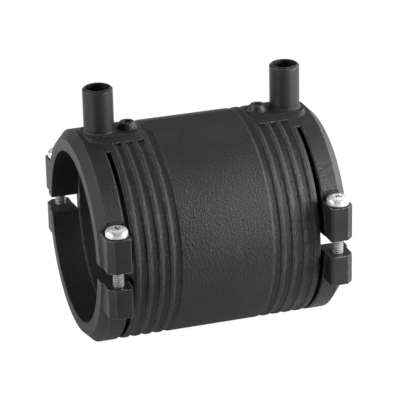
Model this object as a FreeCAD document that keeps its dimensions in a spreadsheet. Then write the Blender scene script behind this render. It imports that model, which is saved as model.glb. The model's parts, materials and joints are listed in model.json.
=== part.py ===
import FreeCAD, Part
import Sketcher
import math
import os

# A straight electrofusion coupler for plastic pressure pipe.
# X runs along the bore, Z points up through the two terminals, and the origin is the middle of the bore.
# The part is alike left and right, and alike front and back.

SIZES = {
    # The barrel
    "coupler_length": 92.6,
    "bore_diameter": 63.2,
    "wall_thickness": 7.45,
    "end_bevel_length": 3.2,
    "end_bevel_depth": 3.25,
    # The grooves round the barrel and the ridges between them
    "groove_floor_width": 1.65,
    "groove_flank_width": 0.8,
    "groove_depth": 0.6,
    "groove_land": 1.1,
    "ridge_width": 0.95,
    # The level strip along the crown
    "crown_cut": 0.5,
    # The split clamp collars and the slots beside them, which narrow towards the bore
    "collar_width": 9.7,
    "slot_width": 1.75,
    "slot_bore_width": 0.5,
    "slot_bevel_depth": 0.45,
    "slot_barrel_bevel": 1.0,
    "slot_collar_bevel": 0.5,
    "slot_top_angle": 20.5,
    "slot_bottom_angle": 13.5,
    "slit_height": 6.2,
    # The clamp lugs
    "lug_setback": 0.15,
    "lug_width": 8.7,
    "lug_reach": 44.5,
    "lug_root_depth": 4.95,
    "lug_bevel": 2.25,
    "lug_edge_rounding": 1.0,
    "upper_lug_height": 12.6,
    "lower_lug_height": 10.9,
    "head_pocket_height": 5.0,
    "head_pocket_room": 1.75,
    # The clamp screws and their holes
    "screw_setback": 5.4,
    "screw_inset": 4.65,
    "screw_diameter": 4.0,
    "screw_length": 25.0,
    "head_diameter": 8.0,
    "head_height": 3.1,
    "head_side_height": 1.8,
    "head_crown_diameter": 5.4,
    "recess_span": 4.4,
    "recess_arm_width": 1.0,
    "recess_depth": 1.5,
    "clearance_hole_diameter": 4.5,
    "thread_clearance": 0.05,
    "hole_end_room": 1.2,
    # The pads that carry the terminals
    "pad_end_margin": 4.2,
    "pad_length": 23.1,
    "pad_width": 19.0,
    "pad_drop": 1.15,
    "pad_rise": 1.7,
    "pad_slope_run": 3.0,
    "pad_outer_slope_run": 0.7,
    "pad_inner_corner_radius": 4.5,
    "pad_outer_corner_radius": 6.3,
    "pad_top_corner_radius": 3.0,
    "pad_skirt_depth": 1.6,
    # The terminal shrouds
    "shroud_setback": 11.05,
    "shroud_diameter": 11.0,
    "shroud_wall": 1.0,
    "shroud_rise": 16.7,
    "shroud_floor_rise": 2.4,
    "shroud_rim_bevel": 0.7,
    "shroud_foot_flare": 0.6,
    # The terminal pins
    "pin_diameter": 4.0,
    "pin_length": 10.5,
    "pin_tip_bevel": 0.5,
    "pin_root_diameter": 2.6,
    "pin_root_depth": 1.2,
    # The fusion indicators
    "indicator_spacing": 10.45,
    "well_foot_diameter": 7.6,
    "well_top_diameter": 5.2,
    "well_height": 2.3,
    "well_bore_diameter": 3.0,
    "well_bore_depth": 6.0,
    "indicator_diameter": 2.8,
    "indicator_drop": 0.5,
    # The heating wire inside the wall
    "wire_diameter": 0.6,
    "wire_cover": 0.9,
    "wire_end_length": 0.5,
    "winding_thickness": 0.8,
    "winding_end_margin": 15.6,
}
GROOVES_PER_END = 4
# How far each screw is turned, in degrees
SCREW_TURNS = {"left_front": 12.0, "left_back": 64.0, "right_front": 38.0, "right_back": 81.0}
SIDES = (-1, 1)
MARGIN = 5.0
SHEET = "Sizes"


class Size:
    """A size kept as a number and as the formula that works it out from the sheet."""

    def __init__(self, number, formula):
        self.number = number
        self.formula = formula

    def __add__(self, other):
        other = as_size(other)
        return Size(self.number + other.number, f"({self.formula} + {other.formula})")

    def __sub__(self, other):
        other = as_size(other)
        return Size(self.number - other.number, f"({self.formula} - {other.formula})")

    def __mul__(self, other):
        other = as_size(other)
        return Size(self.number * other.number, f"({self.formula} * {other.formula})")

    def __truediv__(self, other):
        other = as_size(other)
        return Size(self.number / other.number, f"({self.formula} / {other.formula})")

    def __neg__(self):
        return Size(-self.number, f"(0 - {self.formula})")


def as_size(value):
    if isinstance(value, Size):
        return value
    return Size(float(value), f"({value})")


def size(alias):
    return Size(SIZES[alias], f"{SHEET}.{alias}")


HALF_TURN = Size(180.0, "180")


# Places worked out from the sizes
bore_radius = size("bore_diameter") / 2
outer_radius = bore_radius + size("wall_thickness")
half_length = size("coupler_length") / 2
slot_outer = half_length - size("collar_width")
slot_inner = slot_outer - size("slot_width")
slot_middle = slot_outer - size("slot_width") / 2
slot_bevel_foot = outer_radius - size("slot_bevel_depth")
slit_top = size("slit_height") / 2
lug_inner = slot_outer + size("lug_setback")
lug_outer = lug_inner + size("lug_width")
lug_root = outer_radius - size("lug_root_depth")
lug_top = slit_top + size("upper_lug_height")
lug_bottom = -slit_top - size("lower_lug_height")
screw_place = half_length - size("screw_setback")
screw_reach = size("lug_reach") - size("screw_inset")
head_pocket_wall = screw_reach - size("head_diameter") / 2 - size("head_pocket_room")
screw_tip = lug_top - size("screw_length")
screw_hole_bottom = screw_tip - size("hole_end_room")
crown_height = outer_radius - size("crown_cut")
pad_outer = half_length - size("pad_end_margin")
pad_inner = pad_outer - size("pad_length")
pad_shoulder = outer_radius - size("pad_drop")
pad_height = pad_shoulder + size("pad_rise")
shroud_place = half_length - size("shroud_setback")
shroud_bore_radius = size("shroud_diameter") / 2 - size("shroud_wall")
shroud_top = pad_height + size("shroud_rise")
shroud_floor = pad_height + size("shroud_floor_rise")
pin_top = shroud_floor + size("pin_length")
indicator_place = shroud_place - size("indicator_spacing")
well_top = pad_height + size("well_height")
well_floor = well_top - size("well_bore_depth")
indicator_top = well_top - size("indicator_drop")
wire_inner = bore_radius + size("wire_cover")
wire_outer = wire_inner + size("winding_thickness")
wire_centre = wire_inner + size("winding_thickness") / 2
wire_reach = shroud_place + size("pin_root_diameter") / 2 + size("wire_end_length")
winding_end = half_length - size("winding_end_margin")
pin_root_bottom = wire_centre - size("pin_root_depth")


def make_sheet(doc):
    sheet = doc.addObject("Spreadsheet::Sheet", SHEET)
    for row, (alias, number) in enumerate(SIZES.items(), start=1):
        sheet.set(f"A{row}", alias.replace("_", " "))
        sheet.set(f"B{row}", str(number))
        sheet.setAlias(f"B{row}", alias)
    doc.recompute()


def bind(thing, path, value):
    """Ties a property to the sheet."""
    thing.setExpression(path, as_size(value).formula)


def origin_plane(body, role):
    return next(plane for plane in body.Origin.OriginFeatures if plane.Role == role)


def new_body(doc, name):
    body = doc.addObject("PartDesign::Body", name)
    body.Label = name
    return body


def new_sketch(body, name, role, offset=None, turn=None):
    """A sketch on one of the body's own planes, moved along its normal or turned about its first axis."""
    sketch = body.newObject("Sketcher::SketchObject", name)
    sketch.AttachmentSupport = [(origin_plane(body, role), "")]
    sketch.MapMode = "FlatFace"
    if offset is not None:
        bind(sketch, "AttachmentOffset.Base.z", offset)
    if turn is not None:
        sketch.AttachmentOffset = FreeCAD.Placement(
            FreeCAD.Vector(), FreeCAD.Rotation(FreeCAD.Vector(1, 0, 0), turn.number)
        )
        bind(sketch, "AttachmentOffset.Rotation.Angle", turn)
    return sketch


def tie_point(sketch, curve, end, x, y):
    """Fixes a point of a curve at two sizes from the sketch's origin."""
    for kind, distance in (("DistanceX", as_size(x)), ("DistanceY", as_size(y))):
        index = sketch.addConstraint(
            Sketcher.Constraint(kind, -1, 1, curve, end, distance.number)
        )
        bind(sketch, f"Constraints[{index}]", distance)


def tie_radius(sketch, curve, radius):
    index = sketch.addConstraint(Sketcher.Constraint("Radius", curve, as_size(radius).number))
    bind(sketch, f"Constraints[{index}]", radius)


def vector(x, y):
    return FreeCAD.Vector(as_size(x).number, as_size(y).number, 0)


def polygon(sketch, corners):
    """A closed outline of straight lines through corners that are tied to the sheet."""
    first = sketch.GeometryCount
    count = len(corners)
    for index in range(count):
        following = corners[(index + 1) % count]
        sketch.addGeometry(Part.LineSegment(vector(*corners[index]), vector(*following)), False)
    for index in range(count):
        sketch.addConstraint(
            Sketcher.Constraint("Coincident", first + index, 2, first + (index + 1) % count, 1)
        )
        tie_point(sketch, first + index, 1, *corners[index])


def box_outline(sketch, x_low, x_high, y_low, y_high):
    polygon(sketch, [(x_low, y_low), (x_high, y_low), (x_high, y_high), (x_low, y_high)])


def circle(sketch, x, y, radius):
    curve = sketch.addGeometry(
        Part.Circle(vector(x, y), FreeCAD.Vector(0, 0, 1), as_size(radius).number), False
    )
    tie_point(sketch, curve, 3, x, y)
    tie_radius(sketch, curve, radius)


def rounded_box(sketch, x_low, x_high, half_width, low_radius, high_radius):
    """A rectangle whose corners are arcs, of one radius at its low end and another at its high end."""
    first = sketch.GeometryCount
    centres = [
        (x_high - high_radius, half_width - high_radius),
        (x_low + low_radius, half_width - low_radius),
        (x_low + low_radius, -half_width + low_radius),
        (x_high - high_radius, -half_width + high_radius),
    ]
    radii = [high_radius, low_radius, low_radius, high_radius]
    quarter = math.pi / 2
    for index, (centre, radius) in enumerate(zip(centres, radii)):
        arc = Part.ArcOfCircle(
            Part.Circle(vector(*centre), FreeCAD.Vector(0, 0, 1), radius.number),
            index * quarter,
            (index + 1) * quarter,
        )
        sketch.addGeometry(arc, False)
    for index in range(4):
        arc = sketch.Geometry[first + index]
        following = sketch.Geometry[first + (index + 1) % 4]
        sketch.addGeometry(Part.LineSegment(arc.EndPoint, following.StartPoint), False)
    for index, (centre, radius) in enumerate(zip(centres, radii)):
        line = first + 4 + index
        sketch.addConstraint(Sketcher.Constraint("Tangent", first + index, 2, line, 1))
        sketch.addConstraint(Sketcher.Constraint("Tangent", line, 2, first + (index + 1) % 4, 1))
        tie_point(sketch, first + index, 3, *centre)
        tie_radius(sketch, first + index, radius)


def finish_feature(body, feature, adds):
    """Computes a feature and makes sure that it added or removed material."""
    before = body.Tip.BaseFeature.Shape.Volume if body.Tip.BaseFeature else 0.0
    body.Document.recompute()
    change = feature.Shape.Volume - before
    if (change > 0) != adds or abs(change) < 1e-3:
        raise RuntimeError(f"{feature.Name} changed the volume by {change:.3f}")
    return feature


def extrude(body, kind, sketch, length, reverse=False, symmetric=False):
    feature = body.newObject(f"PartDesign::{kind}", f"{sketch.Name}_{kind.lower()}")
    feature.Profile = sketch
    feature.Length = as_size(length).number
    bind(feature, "Length", length)
    feature.Reversed = reverse
    feature.SideType = "Symmetric" if symmetric else "One side"
    sketch.Visibility = False
    return finish_feature(body, feature, kind == "Pad")


def turn_profile(body, kind, sketch, axis, angle=None, reverse=False):
    feature = body.newObject(f"PartDesign::{kind}", f"{sketch.Name}_{kind.lower()}")
    feature.Profile = sketch
    feature.ReferenceAxis = (sketch, [axis])
    feature.Angle = 360.0 if angle is None else angle.number
    if angle is not None:
        bind(feature, "Angle", angle)
    feature.Reversed = reverse
    sketch.Visibility = False
    return finish_feature(body, feature, kind == "Revolution")


def add_cone(body, name, x, foot_radius, top_radius, height):
    """A short cone that stands on a pad."""
    cone = body.newObject("PartDesign::AdditiveCone", name)
    cone.AttachmentSupport = [(origin_plane(body, "XY_Plane"), "")]
    cone.MapMode = "FlatFace"
    bind(cone, "Radius1", foot_radius)
    bind(cone, "Radius2", top_radius)
    bind(cone, "Height", height)
    bind(cone, "AttachmentOffset.Base.x", x)
    bind(cone, "AttachmentOffset.Base.z", pad_height)
    return finish_feature(body, cone, True)


def edge_treatment(body, kind, name, amount, chooses):
    """Rounds or bevels the edges of the body that the given test picks."""
    shape = body.Tip.Shape
    chosen = [f"Edge{i}" for i, edge in enumerate(shape.Edges, start=1) if chooses(edge)]
    if not chosen:
        raise RuntimeError(f"{name} found no edges")
    base = body.Tip
    feature = body.newObject(f"PartDesign::{kind}", name)
    feature.Base = (base, chosen)
    path = "Radius" if kind == "Fillet" else "Size"
    setattr(feature, path, amount.number)
    bind(feature, path, amount)
    body.Document.recompute()
    return feature


def side_name(side):
    return "right" if side > 0 else "left"


def face_name(face):
    return "back" if face > 0 else "front"


def in_order(near_end, far_end, side):
    """The low and high end of a stretch that lies on the given side of the middle."""
    return (near_end, far_end) if side > 0 else (-far_end, -near_end)


def near(value, wanted, reach=0.01):
    return abs(value - as_size(wanted).number) < reach


def groove_corners():
    """The outline of the right-hand grooves, from the collar towards the middle."""
    floor = outer_radius - size("groove_depth")
    flank = size("groove_flank_width")
    x = slot_inner - size("slot_barrel_bevel") - size("groove_land")
    corners = []
    for _ in range(GROOVES_PER_END):
        corners.append((x, outer_radius))
        corners.append((x - flank, floor))
        x = x - flank - size("groove_floor_width")
        corners.append((x, floor))
        corners.append((x - flank, outer_radius))
        x = x - flank - size("ridge_width")
    return corners


def add_barrel(body):
    """The grooved tube with its bevelled ends."""
    bevel_foot = outer_radius - size("end_bevel_depth")
    right = [
        (half_length, bore_radius),
        (half_length, bevel_foot),
        (half_length - size("end_bevel_length"), outer_radius),
        *groove_corners(),
    ]
    left = [(-x, y) for x, y in reversed(right)]
    sketch = new_sketch(body, "barrel_section", "XZ_Plane")
    polygon(sketch, right + left)
    turn_profile(body, "Revolution", sketch, "H_Axis")


def add_lugs(body):
    """Four upright blocks on the collars, later split into upper and lower lugs by the slits."""
    sketch = new_sketch(body, "lug_section", "XY_Plane", offset=lug_bottom)
    for side in SIDES:
        for face in SIDES:
            corners = [
                (lug_inner, lug_root),
                (lug_outer, lug_root),
                (lug_outer, size("lug_reach") - size("lug_bevel")),
                (lug_outer - size("lug_bevel"), size("lug_reach")),
                (lug_inner, size("lug_reach")),
            ]
            polygon(sketch, [(x * side, y * face) for x, y in corners])
    extrude(body, "Pad", sketch, lug_top - lug_bottom)

    def inner_corner(edge):
        centre = edge.CenterOfMass
        return near(abs(centre.x), lug_inner) and near(abs(centre.y), size("lug_reach"))

    edge_treatment(body, "Fillet", "lug_edge_rounding", size("lug_edge_rounding"), inner_corner)


def add_pads(body):
    """Two raised pads on the crown, with sloping sides, that carry the terminals."""
    half_width = size("pad_width") / 2
    slope = size("pad_slope_run")
    half_top = half_width - slope
    top_radius = size("pad_top_corner_radius")
    top_inner = pad_inner + slope
    top_outer = pad_outer - size("pad_outer_slope_run")
    for side in SIDES:
        name = side_name(side)
        low, high = in_order(pad_inner, pad_outer, side)
        top_low, top_high = in_order(top_inner, top_outer, side)
        radii = [size("pad_inner_corner_radius"), size("pad_outer_corner_radius")][::side]
        foot = new_sketch(
            body, f"pad_foot_{name}", "XY_Plane", offset=pad_shoulder - size("pad_skirt_depth")
        )
        rounded_box(foot, low, high, half_width, *radii)
        extrude(body, "Pad", foot, size("pad_skirt_depth"))
        shoulder = new_sketch(body, f"pad_shoulder_{name}", "XY_Plane", offset=pad_shoulder)
        rounded_box(shoulder, low, high, half_width, *radii)
        top = new_sketch(body, f"pad_top_{name}", "XY_Plane", offset=pad_height)
        rounded_box(top, top_low, top_high, half_top, top_radius, top_radius)
        loft = body.newObject("PartDesign::AdditiveLoft", f"pad_{name}")
        loft.Profile = shoulder
        loft.Sections = [top]
        loft.Ruled = True
        finish_feature(body, loft, True)


def cut_crown(body):
    """The level strip between the pads."""
    sketch = new_sketch(body, "crown_outline", "XY_Plane", offset=crown_height)
    box_outline(sketch, -pad_inner, pad_inner, -outer_radius, outer_radius)
    extrude(body, "Pocket", sketch, MARGIN, reverse=True)


def slot_corners():
    """The section of the right-hand slot, whose bevels run on past the surface by their own depth."""
    half_bore_width = size("slot_bore_width") / 2
    past_surface = outer_radius + size("slot_bevel_depth")
    return [
        (slot_middle - half_bore_width, bore_radius - MARGIN),
        (slot_middle + half_bore_width, bore_radius - MARGIN),
        (slot_middle + half_bore_width, bore_radius),
        (slot_outer, slot_bevel_foot),
        (slot_outer + size("slot_collar_bevel") * 2, past_surface),
        (slot_inner - size("slot_barrel_bevel") * 2, past_surface),
        (slot_inner, slot_bevel_foot),
        (slot_middle - half_bore_width, bore_radius),
    ]


def cut_slots(body):
    """The slots between the collars and the barrel, which leave a bridge at the top and one at the bottom."""
    top = size("slot_top_angle")
    sweep = HALF_TURN - top - size("slot_bottom_angle")
    for face in SIDES:
        sketch = new_sketch(body, f"slot_section_{face_name(face)}", "XZ_Plane", turn=top * -face)
        for side in SIDES:
            polygon(sketch, [(x * side, y) for x, y in slot_corners()])
        turn_profile(body, "Groove", sketch, "H_Axis", angle=sweep, reverse=face > 0)


def cut_slits(body):
    """The level slits that split each collar and its lugs, front and back."""
    sketch = new_sketch(body, "slit_outline", "XZ_Plane")
    for side in SIDES:
        start = slot_middle * side
        end = (half_length + MARGIN) * side
        box_outline(sketch, start, end, -slit_top, slit_top)
    extrude(body, "Pocket", sketch, (size("lug_reach") + MARGIN) * 2, symmetric=True)


def cut_screw_seats(body):
    """The pockets that clear the screw heads, the clearance holes and the blind threaded holes."""
    pockets = new_sketch(body, "head_pockets", "XY_Plane", offset=lug_top)
    clear = new_sketch(body, "clearance_holes", "XY_Plane", offset=lug_top)
    threads = new_sketch(body, "threaded_holes", "XY_Plane")
    for side in SIDES:
        for face in SIDES:
            box_outline(
                pockets,
                lug_inner * side,
                lug_outer * side,
                head_pocket_wall * face,
                (size("lug_reach") + MARGIN) * face,
            )
            place = (screw_place * side, screw_reach * face)
            circle(clear, *place, size("clearance_hole_diameter") / 2)
            circle(threads, *place, size("screw_diameter") / 2 + size("thread_clearance"))
    extrude(body, "Pocket", pockets, size("head_pocket_height"), reverse=True)
    extrude(body, "Pocket", clear, size("upper_lug_height"))
    extrude(body, "Pocket", threads, -screw_hole_bottom)


def add_shrouds(body):
    """The upright tubes round the terminal pins."""
    radius = size("shroud_diameter") / 2
    tubes = new_sketch(body, "shroud_outline", "XY_Plane", offset=pad_shoulder)
    for side in SIDES:
        circle(tubes, shroud_place * side, 0, radius)
    extrude(body, "Pad", tubes, shroud_top - pad_shoulder)
    flare = size("shroud_foot_flare")
    for side in SIDES:
        name = f"shroud_foot_{side_name(side)}"
        add_cone(body, name, shroud_place * side, radius + flare, radius, flare)
    bores = new_sketch(body, "shroud_bore", "XY_Plane", offset=shroud_top)
    for side in SIDES:
        circle(bores, shroud_place * side, 0, shroud_bore_radius)
    extrude(body, "Pocket", bores, shroud_top - shroud_floor)

    def rim(edge):
        box = edge.BoundBox
        return near(box.ZMin, shroud_top) and near(box.XLength, radius * 2)

    edge_treatment(body, "Chamfer", "shroud_rim_bevel", size("shroud_rim_bevel"), rim)


def add_wells(body):
    """The small tapered bosses of the fusion indicators, each with its bore."""
    foot = size("well_foot_diameter") / 2
    top = size("well_top_diameter") / 2
    for side in SIDES:
        add_cone(body, f"well_{side_name(side)}", indicator_place * side, foot, top, size("well_height"))
    bores = new_sketch(body, "well_bores", "XY_Plane", offset=well_top)
    for side in SIDES:
        circle(bores, indicator_place * side, 0, size("well_bore_diameter") / 2)
    extrude(body, "Pocket", bores, size("well_bore_depth"))


def winding_outline(sketch):
    """The section of the winding, the outer shape of its turns."""
    box_outline(sketch, -winding_end, winding_end, wire_inner, wire_outer)


def cut_wire_space(body):
    """The space that the moulding leaves for the pins' roots, the winding and its two ends."""
    roots = new_sketch(body, "pin_root_holes", "XY_Plane", offset=shroud_floor)
    for side in SIDES:
        circle(roots, shroud_place * side, 0, size("pin_root_diameter") / 2)
    extrude(body, "Pocket", roots, shroud_floor - pin_root_bottom)
    runs = new_sketch(body, "wire_end_holes", "YZ_Plane")
    circle(runs, 0, wire_centre, size("wire_diameter") / 2)
    extrude(body, "Pocket", runs, wire_reach * 2, symmetric=True)
    winding = new_sketch(body, "winding_space", "XZ_Plane")
    winding_outline(winding)
    turn_profile(body, "Groove", winding, "H_Axis")


def make_coupler_body(doc):
    body = new_body(doc, "coupler_body")
    add_barrel(body)
    cut_crown(body)
    cut_slots(body)
    add_lugs(body)
    add_pads(body)
    add_shrouds(body)
    add_wells(body)
    cut_slits(body)
    cut_screw_seats(body)
    cut_wire_space(body)


def make_heating_wire(doc):
    """The resistance wire: its winding inside the wall, and the two ends that pass through the pins."""
    body = new_body(doc, "heating_wire")
    ends = new_sketch(body, "wire_section", "YZ_Plane")
    circle(ends, 0, wire_centre, size("wire_diameter") / 2)
    extrude(body, "Pad", ends, wire_reach * 2, symmetric=True)
    winding = new_sketch(body, "winding_section", "XZ_Plane")
    winding_outline(winding)
    turn_profile(body, "Revolution", winding, "H_Axis")


def make_terminal_pin(doc, name, side):
    """A round brass pin whose shoulder sits on the shroud's floor, and whose root has an eye for the wire."""
    body = new_body(doc, name)
    radius = size("pin_diameter") / 2
    root = size("pin_root_diameter") / 2
    tip = size("pin_tip_bevel")
    section = new_sketch(body, f"{name}_section", "XZ_Plane")
    polygon(
        section,
        [
            (0, pin_root_bottom),
            (root, pin_root_bottom),
            (root, shroud_floor),
            (radius, shroud_floor),
            (radius, pin_top - tip),
            (radius - tip, pin_top),
            (0, pin_top),
        ],
    )
    turn_profile(body, "Revolution", section, "V_Axis")
    eye = new_sketch(body, f"{name}_wire_eye", "YZ_Plane")
    circle(eye, 0, wire_centre, size("wire_diameter") / 2)
    extrude(body, "Pocket", eye, size("pin_root_diameter") * 2, symmetric=True)
    bind(body, "Placement.Base.x", shroud_place * side)


def make_fusion_indicator(doc, name, side):
    """A small round pin that stands in its well."""
    body = new_body(doc, name)
    section = new_sketch(body, f"{name}_section", "XY_Plane", offset=well_floor)
    circle(section, 0, 0, size("indicator_diameter") / 2)
    extrude(body, "Pad", section, indicator_top - well_floor)
    bind(body, "Placement.Base.x", indicator_place * side)


def make_clamp_screw(doc, name, side, face, turn):
    """A pan head screw with a cross recess, its seat at the height of its own origin."""
    body = new_body(doc, name)
    shank = size("screw_diameter") / 2
    head = size("head_diameter") / 2
    crown = size("head_height")
    section = new_sketch(body, f"{name}_section", "XZ_Plane")
    polygon(
        section,
        [
            (0, -size("screw_length")),
            (shank, -size("screw_length")),
            (shank, 0),
            (head, 0),
            (head, size("head_side_height")),
            (size("head_crown_diameter") / 2, crown),
            (0, crown),
        ],
    )
    turn_profile(body, "Revolution", section, "V_Axis")
    recess = new_sketch(body, f"{name}_recess", "XY_Plane", offset=crown)
    arm = size("recess_span") / 2
    half_arm = size("recess_arm_width") / 2
    polygon(
        recess,
        [
            (arm, -half_arm),
            (arm, half_arm),
            (half_arm, half_arm),
            (half_arm, arm),
            (-half_arm, arm),
            (-half_arm, half_arm),
            (-arm, half_arm),
            (-arm, -half_arm),
            (-half_arm, -half_arm),
            (-half_arm, -arm),
            (half_arm, -arm),
            (half_arm, -half_arm),
        ],
    )
    extrude(body, "Pocket", recess, size("recess_depth"))
    body.Placement = FreeCAD.Placement(
        FreeCAD.Vector(), FreeCAD.Rotation(FreeCAD.Vector(0, 0, 1), turn)
    )
    bind(body, "Placement.Base.x", screw_place * side)
    bind(body, "Placement.Base.y", screw_reach * face)
    bind(body, "Placement.Base.z", lug_top)


def check_and_write(doc):
    """Stops at any failed object, then writes each piece to its own file."""
    doc.recompute()
    for thing in doc.Objects:
        if "Invalid" in thing.State or "Error" in thing.State:
            raise RuntimeError(f"{thing.Name} is {thing.State}")
    pieces = [thing for thing in doc.Objects if thing.TypeId == "PartDesign::Body"]
    for piece in pieces:
        shape = piece.Shape
        if shape.isNull() or not shape.isValid() or len(shape.Solids) != 1:
            raise RuntimeError(f"{piece.Label} is not one valid solid")
    os.makedirs("parts", exist_ok=True)
    for piece in pieces:
        piece.Shape.exportStep(f"parts/{piece.Label}.step")
        box = piece.Shape.BoundBox
        print(
            f"{piece.Label}: {piece.Shape.Volume:.1f} mm3, faces {len(piece.Shape.Faces)}, "
            f"x {box.XMin:.2f} {box.XMax:.2f}, y {box.YMin:.2f} {box.YMax:.2f}, "
            f"z {box.ZMin:.2f} {box.ZMax:.2f}"
        )


def main():
    doc = FreeCAD.newDocument("pipe_coupler")
    make_sheet(doc)
    make_coupler_body(doc)
    make_heating_wire(doc)
    for side in SIDES:
        make_terminal_pin(doc, f"terminal_pin_{side_name(side)}", side)
        make_fusion_indicator(doc, f"fusion_indicator_{side_name(side)}", side)
        for face in SIDES:
            place = f"{side_name(side)}_{face_name(face)}"
            make_clamp_screw(doc, f"clamp_screw_{place}", side, face, SCREW_TURNS[place])
    check_and_write(doc)


main()
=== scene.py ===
import json
import math

import bmesh
import bpy
from mathutils import Matrix, Vector


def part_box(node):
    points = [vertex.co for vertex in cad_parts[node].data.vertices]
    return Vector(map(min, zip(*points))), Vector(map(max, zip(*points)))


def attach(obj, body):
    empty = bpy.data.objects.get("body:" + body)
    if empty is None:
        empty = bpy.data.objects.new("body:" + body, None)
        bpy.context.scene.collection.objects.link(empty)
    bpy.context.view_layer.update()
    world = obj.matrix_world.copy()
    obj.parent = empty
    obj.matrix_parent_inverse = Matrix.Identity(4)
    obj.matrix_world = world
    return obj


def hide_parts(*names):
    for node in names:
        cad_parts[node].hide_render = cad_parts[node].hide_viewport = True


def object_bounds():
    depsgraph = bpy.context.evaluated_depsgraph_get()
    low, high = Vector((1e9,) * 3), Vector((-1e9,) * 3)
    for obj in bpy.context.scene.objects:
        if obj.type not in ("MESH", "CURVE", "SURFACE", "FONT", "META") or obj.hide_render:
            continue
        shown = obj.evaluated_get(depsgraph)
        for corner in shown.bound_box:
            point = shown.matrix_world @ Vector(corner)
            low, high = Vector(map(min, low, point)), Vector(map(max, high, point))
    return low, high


# A black electrofusion coupler, seen from the front left and a little from above.
# X runs along the bore, Z points up through the terminals, and all lengths are in metres.

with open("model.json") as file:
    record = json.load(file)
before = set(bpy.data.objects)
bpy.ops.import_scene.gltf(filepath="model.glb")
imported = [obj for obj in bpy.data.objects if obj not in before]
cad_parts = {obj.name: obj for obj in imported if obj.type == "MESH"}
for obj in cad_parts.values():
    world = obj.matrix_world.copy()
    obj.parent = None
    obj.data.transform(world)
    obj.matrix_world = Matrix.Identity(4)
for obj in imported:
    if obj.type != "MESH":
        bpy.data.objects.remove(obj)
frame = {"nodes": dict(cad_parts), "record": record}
cad_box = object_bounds()

MM = 0.001

# Camera
CAMERA_AZIMUTH = math.radians(17.46)
CAMERA_ELEVATION = math.radians(22.74)
CAMERA_ROLL = math.radians(-1.25)
CAMERA_DISTANCE = 836.5 * MM
CAMERA_SIDE = 1.814 * MM
CAMERA_LIFT = 6.972 * MM
CAMERA_NEAR = 10.0 * MM
CAMERA_LENS = 204.1
SENSOR_WIDTH = 36.0

# Screw heads; a share is a part of the length that it stands with in the code
HEAD_HEIGHT = 3.1 * MM
HEAD_RADIUS = 4.0 * MM
HEAD_SIDE_HEIGHT = 1.6 * MM
HEAD_CORNER_SHARE = 0.25
HEAD_STEPS = 72
DOME_STEPS = 10
DOME_FLATNESS = 0.5
SEAT_SHARE = 0.9
RECESS_ARM = 2.0 * MM
RECESS_HALF_WIDTH = 0.42 * MM
RECESS_CORNER_SHARE = 1.35
RECESS_DEPTH = 1.7 * MM
RECESS_TAPER = 0.35
RECESS_OVERSHOOT = 0.4 * MM

# Screw shanks
SHANK_RADIUS = 2.0 * MM
SHANK_END_SHARE = 0.62
SHANK_END_BEVEL = 0.3 * MM
THREAD_STEPS = 24
THREAD_PITCH = 0.7 * MM
THREAD_DEPTH = 0.42 * MM
THREAD_ROOT = SHANK_RADIUS - THREAD_DEPTH
THREAD_START_SHARE = 0.86
THREAD_RISES_AT = 0.38
THREAD_CREST_FROM = 0.62
THREAD_CREST_TO = 0.74

# How far each screw is turned, in degrees
SCREW_TURNS = {"left_front": 12.0, "left_back": 64.0, "right_front": 38.0, "right_back": 81.0}
SIDES = ("left", "right")
FACES = ("front", "back")

# Creases between faces, above which an edge stays sharp
CAD_CREASE = math.radians(28.0)
SCREW_CREASE = math.radians(35.0)

# Polyethylene: its colours, among them a painted highlight and painted shade, the scales of its
# noises, and lengths of its relief and of the painted shade in its creases
MOULDED_DARK = (0.011, 0.011, 0.012)
MOULDED_LIGHT = (0.019, 0.019, 0.02)
# Edge colour: partly real rubbing, partly a painted highlight where edges catch the light
RUBBED_AND_HIGHLIGHT_GREY = (0.26, 0.26, 0.264)
# Painted shade: the colour that creases and the bore are darkened towards
PAINTED_SHADE_BLACK = (0.009, 0.009, 0.009)
GRAIN_SCALE = 1400.0
CLOUD_SCALE = 90.0
PATCH_SCALE = 850.0
GRAIN_HEIGHT = 0.48 * MM
EDGE_RADIUS = 0.42 * MM
EDGE_SAMPLES = 6
CREASE_REACH = 1.0 * MM
CREASE_SAMPLES = 10
GLOSS_REACH = 2.5 * MM

# How closely a softened normal follows the face where an edge is rubbed and given its painted
# highlight fully, and not at all
RUBBED_AND_LIT_AT = 0.93
UNRUBBED_AND_UNLIT_AT = 0.997

# How far from the bore's axis the painted shade of the bore ends, and where the grain fades
BORE_SHADE_FROM = 32.4 * MM
BORE_SHADE_TO = 32.8 * MM
GRAIN_FADES_FROM = 39.4 * MM
GRAIN_FADES_TO = 41.0 * MM

# Plated steel
# Painted shade in the screws' recesses and thread roots
RECESS_SHADE_GREY = (0.12, 0.12, 0.12)
RECESS_SHADE_REACH = 1.2 * MM

# Floor and surround; a share is how much of the glow rays of a kind see
FLOOR_HALF = 6.0
FLOOR_GREY = (0.5, 0.5, 0.5, 1.0)
FLOOR_ROUGHNESS = 0.9
FLOOR_GLOW = 1.12
SEEN_SHARE = 0.88
MIRRORED_FROM = -20.0 * MM
MIRRORED_TO = 80.0 * MM
MIRRORED_IN_FRONT = 0.07
MIRRORED_BEHIND = 0.7
SURROUND_LIGHT = 0.05
WHITE = (1.0, 1.0, 1.0, 1.0)

# Soft lights: place, width, height and power
LIGHTS = {
    "key": ((0.182, -0.112, 0.078), 0.08, 0.08, 0.58),
    "front_key": ((0.17, -0.185, 0.086), 0.085, 0.085, 0.27),
    "right_fill": ((0.5, 0.1, 0.06), 0.36, 0.36, 1.75),
    "left_fill": ((-0.46, 0.04, 0.22), 0.32, 0.32, 1.9),
    "left_strip": ((-0.34, -0.15, -0.008), 0.055, 0.055, 0.2),
    "back_fill": ((0.15, 0.48, 0.56), 1.0, 0.75, 1.4),
    "top_fill": ((0.06, -0.12, 0.6), 0.4, 0.4, 0.15),
}


# Node helpers

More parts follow.
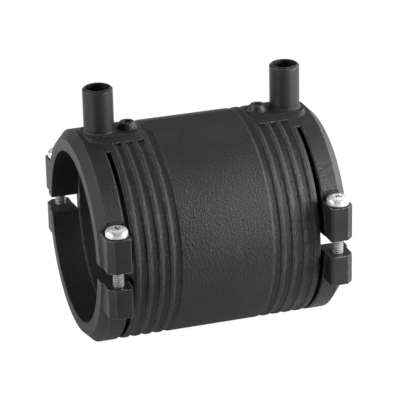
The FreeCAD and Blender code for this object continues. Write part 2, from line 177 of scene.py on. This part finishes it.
def new_material(name):
    """A material with a Principled shader, and the two ends that the rest hangs on."""
    material = bpy.data.materials.new(name)
    material.use_nodes = True
    tree = material.node_tree
    tree.nodes.clear()
    shader = tree.nodes.new("ShaderNodeBsdfPrincipled")
    output = tree.nodes.new("ShaderNodeOutputMaterial")
    tree.links.new(shader.outputs["BSDF"], output.inputs["Surface"])
    return material, tree, shader


def noise(tree, scale, detail=2.0, roughness=0.5, stretch=(1.0, 1.0, 1.0)):
    """Noise in the object's own coordinates, as a value from 0 to 1."""
    place = tree.nodes.new("ShaderNodeTexCoord")
    mapping = tree.nodes.new("ShaderNodeMapping")
    mapping.inputs["Scale"].default_value = stretch
    texture = tree.nodes.new("ShaderNodeTexNoise")
    texture.inputs["Scale"].default_value = scale
    texture.inputs["Detail"].default_value = detail
    texture.inputs["Roughness"].default_value = roughness
    tree.links.new(place.outputs["Object"], mapping.inputs["Vector"])
    tree.links.new(mapping.outputs["Vector"], texture.inputs["Vector"])
    return texture.outputs["Fac"]


def remap(tree, value, low, high, out_low, out_high):
    """Spreads a value's range over another one."""
    node = tree.nodes.new("ShaderNodeMapRange")
    node.inputs["From Min"].default_value = low
    node.inputs["From Max"].default_value = high
    node.inputs["To Min"].default_value = out_low
    node.inputs["To Max"].default_value = out_high
    tree.links.new(value, node.inputs["Value"])
    return node.outputs["Result"]


def feed(tree, value, socket):
    """Sets a socket to a plain number or colour, or links a value to it."""
    if isinstance(value, float):
        socket.default_value = value
    elif isinstance(value, tuple):
        socket.default_value = (*value, 1.0)
    else:
        tree.links.new(value, socket)


def mix_colour(tree, factor, first, second):
    """The first colour where the factor is 0 and the second where it is 1."""
    node = tree.nodes.new("ShaderNodeMix")
    node.data_type = "RGBA"
    feed(tree, factor, node.inputs["Factor"])
    feed(tree, first, node.inputs["A"])
    feed(tree, second, node.inputs["B"])
    return node.outputs["Result"]


def bump(tree, height, strength, distance, normal=None):
    """Normals pushed about by a height; the strength may be a plain number or a value."""
    node = tree.nodes.new("ShaderNodeBump")
    feed(tree, strength, node.inputs["Strength"])
    node.inputs["Distance"].default_value = distance
    tree.links.new(height, node.inputs["Height"])
    if normal is not None:
        tree.links.new(normal, node.inputs["Normal"])
    return node.outputs["Normal"]


def combine(tree, operation, first, second):
    """Two values joined by an arithmetic step; the second may be a plain number."""
    node = tree.nodes.new("ShaderNodeMath")
    node.operation = operation
    feed(tree, first, node.inputs[0])
    feed(tree, second, node.inputs[1])
    return node.outputs[0]


def openness(tree, reach, samples=6):
    """How far a place lies open, from 0 deep in a crease to 1 on a free face."""
    node = tree.nodes.new("ShaderNodeAmbientOcclusion")
    node.samples = samples
    node.only_local = True
    node.inputs["Distance"].default_value = reach
    return node.outputs["AO"]


def from_axis(tree):
    """How far a place lies from the bore's axis."""
    place = tree.nodes.new("ShaderNodeTexCoord")
    flat = tree.nodes.new("ShaderNodeVectorMath")
    flat.operation = "MULTIPLY"
    flat.inputs[1].default_value = (0.0, 1.0, 1.0)
    reach = tree.nodes.new("ShaderNodeVectorMath")
    reach.operation = "LENGTH"
    tree.links.new(place.outputs["Object"], flat.inputs[0])
    tree.links.new(flat.outputs["Vector"], reach.inputs[0])
    return reach.outputs["Value"]


def rounded_edges(tree, radius):
    """Normals that soften the edges of a solid."""
    node = tree.nodes.new("ShaderNodeBevel")
    node.samples = EDGE_SAMPLES
    node.inputs["Radius"].default_value = radius
    return node.outputs["Normal"]


def edge_wear_and_highlight(tree, soft):
    """How much an edge is rubbed and given a painted highlight, from 0 on a flat face to 1 along the
    edge.
    """
    face = tree.nodes.new("ShaderNodeNewGeometry")
    node = tree.nodes.new("ShaderNodeVectorMath")
    node.operation = "DOT_PRODUCT"
    tree.links.new(soft, node.inputs[0])
    tree.links.new(face.outputs["Normal"], node.inputs[1])
    return remap(tree, node.outputs["Value"], RUBBED_AND_LIT_AT, UNRUBBED_AND_UNLIT_AT, 1.0, 0.0)


def black_polyethylene():
    """Black moulded polyethylene: grained, rubbed pale at its edges with a painted highlight there,
    with painted shade in its creases and bore.
    """
    material, tree, shader = new_material("black_polyethylene")
    grain = noise(tree, GRAIN_SCALE, detail=3.0, roughness=0.65)
    cloud = remap(tree, noise(tree, CLOUD_SCALE, detail=3.0), 0.3, 0.7, 0.0, 1.0)
    patches = remap(tree, noise(tree, PATCH_SCALE), 0.4, 0.62, 0.15, 1.0)
    soft = rounded_edges(tree, EDGE_RADIUS)
    axis_gap = from_axis(tree)

    # Edges rubbed pale and given a painted highlight, in patches
    rubbed_and_highlit = combine(tree, "MULTIPLY", edge_wear_and_highlight(tree, soft), patches)
    # Painted shade: darker in creases and inside the bore, on the colour and on the reflections
    crease_shade = remap(tree, openness(tree, CREASE_REACH, samples=CREASE_SAMPLES), 0.66, 0.96, 0.1, 1.0)
    bore_shade = remap(tree, axis_gap, BORE_SHADE_FROM, BORE_SHADE_TO, 0.55, 1.0)
    shade = combine(tree, "MULTIPLY", crease_shade, bore_shade)
    tone = mix_colour(tree, cloud, MOULDED_DARK, MOULDED_LIGHT)
    worn_and_highlit = mix_colour(tree, rubbed_and_highlit, tone, RUBBED_AND_HIGHLIGHT_GREY)
    tree.links.new(mix_colour(tree, shade, PAINTED_SHADE_BLACK, worn_and_highlit), shader.inputs["Base Color"])

    tree.links.new(remap(tree, grain, 0.3, 0.7, 0.3, 0.52), shader.inputs["Roughness"])
    # Painted shade: reflections are taken away in hollows
    hollow_shaded_gloss = remap(tree, openness(tree, GLOSS_REACH), 0.3, 0.95, 0.05, 0.42)
    tree.links.new(combine(tree, "MULTIPLY", hollow_shaded_gloss, shade), shader.inputs["Specular IOR Level"])
    etched = remap(tree, axis_gap, GRAIN_FADES_FROM, GRAIN_FADES_TO, 1.0, 0.3)
    tree.links.new(bump(tree, grain, etched, GRAIN_HEIGHT, soft), shader.inputs["Normal"])
    return material


def smooth_black():
    """The smoother black plastic of the indicator pins."""
    material, tree, shader = new_material("indicator_plastic")
    grain = noise(tree, 2200.0)
    tone = mix_colour(tree, grain, (0.018, 0.018, 0.019), (0.028, 0.028, 0.03))
    tree.links.new(tone, shader.inputs["Base Color"])
    tree.links.new(remap(tree, grain, 0.3, 0.7, 0.35, 0.5), shader.inputs["Roughness"])
    tree.links.new(bump(tree, grain, 0.2, 0.1 * MM), shader.inputs["Normal"])
    return material


def plated_steel():
    """Bright zinc plate with a slight haze, fine turning marks and painted shade in its recesses."""
    material, tree, shader = new_material("plated_steel")
    haze = noise(tree, 700.0, detail=4.0)
    marks = noise(tree, 900.0, stretch=(1.0, 1.0, 9.0))
    # Painted shade: darker deep in the cross recess and between the threads
    unshaded = remap(tree, openness(tree, RECESS_SHADE_REACH), 0.35, 0.85, 0.0, 1.0)
    tone = mix_colour(tree, haze, (0.86, 0.86, 0.87), (0.96, 0.96, 0.97))
    tree.links.new(mix_colour(tree, unshaded, RECESS_SHADE_GREY, tone), shader.inputs["Base Color"])
    shader.inputs["Metallic"].default_value = 0.6
    tree.links.new(remap(tree, haze, 0.3, 0.7, 0.2, 0.34), shader.inputs["Roughness"])
    tree.links.new(bump(tree, marks, 0.15, 0.05 * MM), shader.inputs["Normal"])
    return material


def brass():
    """Turned brass, a little dulled."""
    material, tree, shader = new_material("brass")
    haze = noise(tree, 500.0, detail=3.0)
    rings = noise(tree, 600.0, stretch=(0.2, 0.2, 12.0))
    tone = mix_colour(tree, haze, (0.55, 0.39, 0.14), (0.78, 0.6, 0.28))
    tree.links.new(tone, shader.inputs["Base Color"])
    shader.inputs["Metallic"].default_value = 1.0
    tree.links.new(remap(tree, haze, 0.3, 0.7, 0.25, 0.45), shader.inputs["Roughness"])
    tree.links.new(bump(tree, rings, 0.2, 0.05 * MM), shader.inputs["Normal"])
    return material


def drawn_wire():
    """Drawn resistance wire."""
    material, tree, shader = new_material("resistance_wire")
    streak = noise(tree, 400.0, stretch=(8.0, 1.0, 1.0))
    tone = mix_colour(tree, streak, (0.5, 0.3, 0.18), (0.72, 0.5, 0.36))
    tree.links.new(tone, shader.inputs["Base Color"])
    shader.inputs["Metallic"].default_value = 1.0
    tree.links.new(remap(tree, streak, 0.3, 0.7, 0.3, 0.5), shader.inputs["Roughness"])
    return material


MATERIALS = {
    "black_polyethylene": black_polyethylene(),
    "indicator_plastic": smooth_black(),
    "plated_steel": plated_steel(),
    "brass": brass(),
    "resistance_wire": drawn_wire(),
}


# CAD pieces that stay

def dress(node, slot):
    """Gives a CAD node its finish, with smooth shading on its curved faces."""
    piece = frame["nodes"][node]
    mesh = piece.data
    mesh.materials.clear()
    mesh.materials.append(MATERIALS[slot])
    mesh.shade_smooth()
    mesh.set_sharp_from_angle(angle=CAD_CREASE)


for entry in frame["record"]["subparts"]:
    dress(entry["node"], entry["material_slot"])


# Screws

def add_piece(name, mesh, slot, *nodes):
    """Puts a finished mesh into the scene as a piece that stands for CAD nodes."""
    piece = bpy.data.objects.new(name, mesh)
    bpy.context.scene.collection.objects.link(piece)
    mesh.materials.clear()
    mesh.materials.append(MATERIALS[slot])
    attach(piece, "root")
    if nodes:
        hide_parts(*nodes)


def head_profile():
    """The outline of the pan head from its seat to its crown, as radius and height."""
    corner = HEAD_SIDE_HEIGHT * HEAD_CORNER_SHARE
    points = [(SHANK_RADIUS * SEAT_SHARE, 0.0), (HEAD_RADIUS - corner, 0.0), (HEAD_RADIUS, corner)]
    rise = HEAD_HEIGHT - HEAD_SIDE_HEIGHT
    for step in range(DOME_STEPS + 1):
        angle = math.pi / 2 * step / DOME_STEPS
        radius = HEAD_RADIUS * math.cos(angle) ** DOME_FLATNESS
        points.append((radius, HEAD_SIDE_HEIGHT + rise * math.sin(angle)))
    return points


def turn_outline(points, steps):
    """A closed mesh made by turning an outline about Z; both of its ends close on the axis."""
    mesh = bmesh.new()
    rings = []
    for radius, height in points:
        ring = []
        for step in range(steps):
            angle = 2 * math.pi * step / steps
            ring.append(mesh.verts.new((radius * math.cos(angle), radius * math.sin(angle), height)))
        rings.append(ring)
    for low, high in zip(rings, rings[1:]):
        for step in range(steps):
            after = (step + 1) % steps
            mesh.faces.new((low[step], low[after], high[after], high[step]))
    mesh.faces.new(list(reversed(rings[0])))
    mesh.faces.new(rings[-1])
    return mesh


def cross_cutter():
    """The cross that is cut from the head; going down, it gets shorter faster than narrower."""
    mesh = bmesh.new()
    rings = []
    levels = ((HEAD_HEIGHT - RECESS_DEPTH, RECESS_TAPER), (HEAD_HEIGHT + RECESS_OVERSHOOT, 1.0))
    for height, scale in levels:
        arm, half = RECESS_ARM * scale, RECESS_HALF_WIDTH * (0.5 + scale / 2)
        corner = half * RECESS_CORNER_SHARE
        quarter = [(arm, -half), (arm, half), (corner, corner)]
        ring = []
        for turn in range(4):
            cosine, sine = round(math.cos(turn * math.pi / 2)), round(math.sin(turn * math.pi / 2))
            for x, y in quarter:
                ring.append(mesh.verts.new((x * cosine - y * sine, x * sine + y * cosine, height)))
        rings.append(ring)
    count = len(rings[0])
    for index in range(count):
        after = (index + 1) % count
        mesh.faces.new((rings[0][index], rings[0][after], rings[1][after], rings[1][index]))
    mesh.faces.new(list(reversed(rings[0])))
    mesh.faces.new(rings[1])
    return mesh


def mesh_object(name, mesh):
    """A plain object round a bmesh, which is used up."""
    data = bpy.data.meshes.new(name)
    bmesh.ops.recalc_face_normals(mesh, faces=mesh.faces)
    mesh.to_mesh(data)
    mesh.free()
    return bpy.data.objects.new(name, data)


def head_mesh():
    """The pan head with its cross recess, its seat at height 0."""
    head = mesh_object("screw_head", turn_outline(head_profile(), HEAD_STEPS))
    cutter = mesh_object("recess_cutter", cross_cutter())
    for thing in (head, cutter):
        bpy.context.scene.collection.objects.link(thing)
    cut = head.modifiers.new("recess", "BOOLEAN")
    cut.operation = "DIFFERENCE"
    cut.object = cutter
    cut.solver = "EXACT"
    graph = bpy.context.evaluated_depsgraph_get()
    finished = bpy.data.meshes.new_from_object(head.evaluated_get(graph))
    bpy.data.objects.remove(head)
    bpy.data.objects.remove(cutter)
    return finished


def thread_mesh(length):
    """The shank with its helical thread, from the seat down to a short bevelled end."""
    mesh = bmesh.new()
    start = THREAD_ROOT * THREAD_START_SHARE
    shape = (
        (0.0, THREAD_ROOT),
        (THREAD_RISES_AT, THREAD_ROOT),
        (THREAD_CREST_FROM, SHANK_RADIUS),
        (THREAD_CREST_TO, SHANK_RADIUS),
        (1.0, THREAD_ROOT),
    )
    columns = []
    for step in range(int(length / THREAD_PITCH * THREAD_STEPS) + 1):
        angle = 2 * math.pi * step / THREAD_STEPS
        base = -length + THREAD_PITCH * step / THREAD_STEPS
        column = []
        for share, radius in shape:
            height = min(0.0, base + (share - 1.0) * THREAD_PITCH)
            bevel = max(0.0, min(1.0, (height + length) / THREAD_PITCH))
            spread = start + (radius - start) * bevel
            point = (spread * math.cos(angle), spread * math.sin(angle), max(height, -length))
            column.append(mesh.verts.new(point))
        columns.append(column)
    for near, far in zip(columns, columns[1:]):
        for index in range(len(shape) - 1):
            mesh.faces.new((near[index], far[index], far[index + 1], near[index + 1]))
    return mesh


def build_screw(side, face):
    """A plated pan head screw that stands for the plain one, turned as far as that one is."""
    node = f"clamp_screw_{side}_{face}"
    low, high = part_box(node)
    place = Vector(((low[0] + high[0]) / 2, (low[1] + high[1]) / 2, high[2] - HEAD_HEIGHT))
    length = place.z - low[2]
    joined = bmesh.new()
    joined.from_mesh(head_mesh())
    core_outline = [
        (SHANK_RADIUS * SHANK_END_SHARE, -length),
        (THREAD_ROOT, -length + SHANK_END_BEVEL),
        (THREAD_ROOT, 0.0),
    ]
    for part in (thread_mesh(length), turn_outline(core_outline, THREAD_STEPS)):
        data = bpy.data.meshes.new("part")
        part.to_mesh(data)
        part.free()
        joined.from_mesh(data)
    bmesh.ops.recalc_face_normals(joined, faces=joined.faces)
    turn = Matrix.Rotation(math.radians(SCREW_TURNS[f"{side}_{face}"]), 4, "Z")
    bmesh.ops.transform(joined, matrix=Matrix.Translation(place) @ turn, verts=joined.verts)
    mesh = bpy.data.meshes.new(f"machine_screw_{side}_{face}")
    joined.to_mesh(mesh)
    joined.free()
    mesh.shade_smooth()
    mesh.set_sharp_from_angle(angle=SCREW_CREASE)
    add_piece(f"machine_screw_{side}_{face}", mesh, "plated_steel", node)


for side in SIDES:
    for face in FACES:
        build_screw(side, face)


# Light, floor and camera

def area_light(name, place, width, height, power):
    """A soft light that faces the middle of the object."""
    data = bpy.data.lights.new(name, "AREA")
    data.energy = power
    data.shape = "RECTANGLE"
    data.size = width
    data.size_y = height
    lamp = bpy.data.objects.new(name, data)
    bpy.context.scene.collection.objects.link(lamp)
    lamp.location = place
    lamp.rotation_euler = (-Vector(place)).to_track_quat("-Z", "Y").to_euler()


def pale_floor():
    """A plain pale floor: near white to the camera, with the object's shadow; reflections dim it."""
    mesh = bpy.data.meshes.new("floor")
    level = cad_box[0].z
    signs = ((-1, -1), (1, -1), (1, 1), (-1, 1))
    corners = [(x * FLOOR_HALF, y * FLOOR_HALF, level) for x, y in signs]
    mesh.from_pydata(corners, [], [(0, 1, 2, 3)])
    floor = bpy.data.objects.new("floor", mesh)
    bpy.context.scene.collection.objects.link(floor)
    material, tree, shader = new_material("floor_white")
    shader.inputs["Base Color"].default_value = FLOOR_GREY
    shader.inputs["Roughness"].default_value = FLOOR_ROUGHNESS
    glow = tree.nodes.new("ShaderNodeEmission")
    glow.inputs["Color"].default_value = WHITE
    glow.inputs["Strength"].default_value = FLOOR_GLOW
    path = tree.nodes.new("ShaderNodeLightPath")
    mix = tree.nodes.new("ShaderNodeMixShader")
    place = tree.nodes.new("ShaderNodeTexCoord")
    parts = tree.nodes.new("ShaderNodeSeparateXYZ")
    tree.links.new(place.outputs["Object"], parts.inputs[0])
    depth = parts.outputs["Y"]
    behind = remap(tree, depth, MIRRORED_FROM, MIRRORED_TO, MIRRORED_IN_FRONT, MIRRORED_BEHIND)
    seen = combine(tree, "MULTIPLY", path.outputs["Is Camera Ray"], SEEN_SHARE)
    mirrored = combine(tree, "MULTIPLY", path.outputs["Is Glossy Ray"], behind)
    share = combine(tree, "MAXIMUM", seen, mirrored)
    output = next(node for node in tree.nodes if node.type == "OUTPUT_MATERIAL")
    tree.links.new(share, mix.inputs["Fac"])
    tree.links.new(shader.outputs["BSDF"], mix.inputs[1])
    tree.links.new(glow.outputs["Emission"], mix.inputs[2])
    tree.links.new(mix.outputs["Shader"], output.inputs["Surface"])
    mesh.materials.append(material)


def world_light():
    """An even surround that lights only faintly and that the camera sees as white."""
    world = bpy.data.worlds.new("surround")
    bpy.context.scene.world = world
    world.use_nodes = True
    tree = world.node_tree
    tree.nodes.clear()
    dim = tree.nodes.new("ShaderNodeBackground")
    dim.inputs["Color"].default_value = WHITE
    dim.inputs["Strength"].default_value = SURROUND_LIGHT
    white = tree.nodes.new("ShaderNodeBackground")
    white.inputs["Color"].default_value = WHITE
    white.inputs["Strength"].default_value = 1.0
    path = tree.nodes.new("ShaderNodeLightPath")
    mix = tree.nodes.new("ShaderNodeMixShader")
    output = tree.nodes.new("ShaderNodeOutputWorld")
    tree.links.new(path.outputs["Is Camera Ray"], mix.inputs["Fac"])
    tree.links.new(dim.outputs["Background"], mix.inputs[1])
    tree.links.new(white.outputs["Background"], mix.inputs[2])
    tree.links.new(mix.outputs["Shader"], output.inputs["Surface"])


def photo_camera():
    """The camera at the photograph's viewing angle."""
    sine, cosine = math.sin(CAMERA_AZIMUTH), math.cos(CAMERA_AZIMUTH)
    level = math.cos(CAMERA_ELEVATION)
    back = Vector((-sine * level, -cosine * level, math.sin(CAMERA_ELEVATION)))
    level_right = Vector((cosine, -sine, 0.0))
    level_up = level_right.cross(-back)
    right = level_right * math.cos(CAMERA_ROLL) + level_up * math.sin(CAMERA_ROLL)
    up = level_up * math.cos(CAMERA_ROLL) - level_right * math.sin(CAMERA_ROLL)
    data = bpy.data.cameras.new("photo_camera")
    data.sensor_width = SENSOR_WIDTH
    data.lens = CAMERA_LENS
    data.clip_start = CAMERA_NEAR
    camera = bpy.data.objects.new("photo_camera", data)
    bpy.context.scene.collection.objects.link(camera)
    place = right * CAMERA_SIDE + up * CAMERA_LIFT + back * CAMERA_DISTANCE
    turn = Matrix((right, up, back)).transposed()
    camera.matrix_world = Matrix.Translation(place) @ turn.to_4x4()
    bpy.context.scene.camera = camera


pale_floor()
world_light()
for name, (place, width, height, power) in LIGHTS.items():
    area_light(name, place, width, height, power)
photo_camera()
bpy.context.scene.view_settings.view_transform = "Standard"
